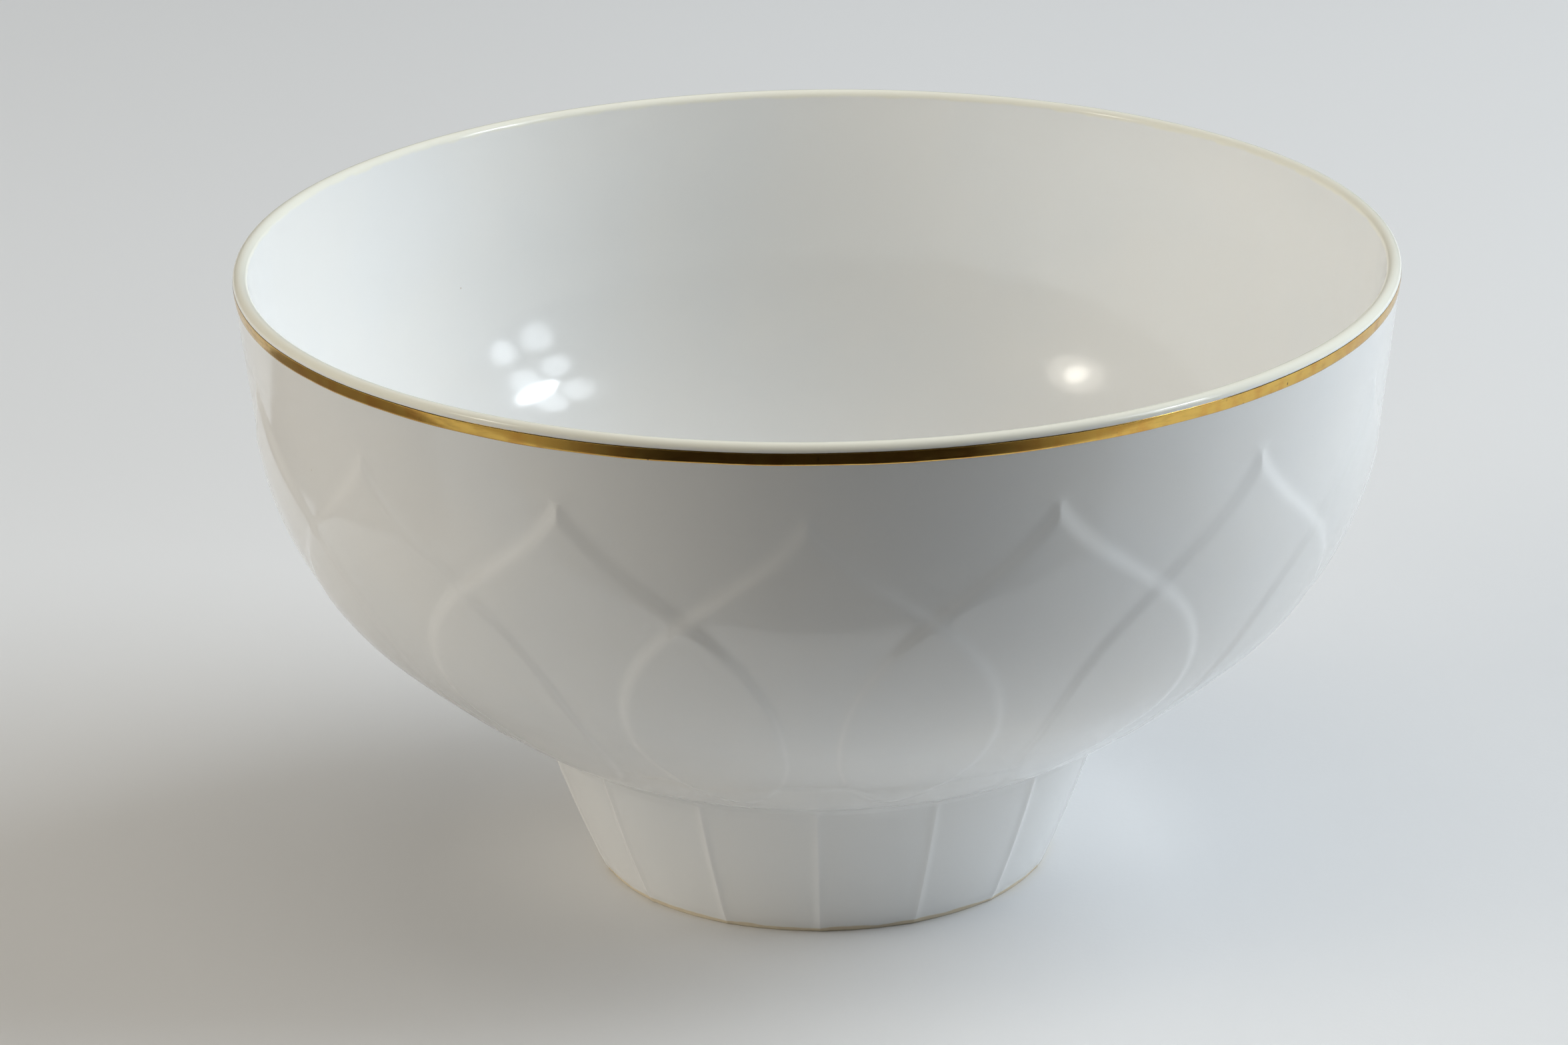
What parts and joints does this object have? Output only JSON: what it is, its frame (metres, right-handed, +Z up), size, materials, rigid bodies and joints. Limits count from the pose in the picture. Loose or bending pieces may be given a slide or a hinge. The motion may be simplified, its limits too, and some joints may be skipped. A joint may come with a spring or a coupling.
{
  "type": "serving bowl",
  "caption": "Round porcelain serving bowl on a tall tapered foot ring, with overlapping lotus petals in low relief outside, a smooth inside and a thin gold line below the lip.",
  "frame": {"origin": "centre of the bottom of the bowl's bounding box, on the surface that the foot stands on", "axes": "+Z up along the bowl's turning axis; a petal tip and a foot rib lie towards -Y"},
  "size_m": [0.22, 0.22, 0.121],
  "materials": {
    "bowl_porcelain": "white porcelain under a clear, even, high-gloss glaze",
    "foot_porcelain": "the same glazed porcelain, wiped bare and slightly cream on the narrow ring that stands on the table",
    "slip_porcelain": "fired slip, smoothed into a soft inside corner and covered by the glaze",
    "fired_gold": "bright fired gold with fine brush marks and slight wear"
  },
  "bodies": {
    "root": {"bowl_body": "bowl_porcelain", "foot_ring": "foot_porcelain", "slip_joint": "slip_porcelain", "gold_line": "fired_gold"}
  },
  "joints": []
}
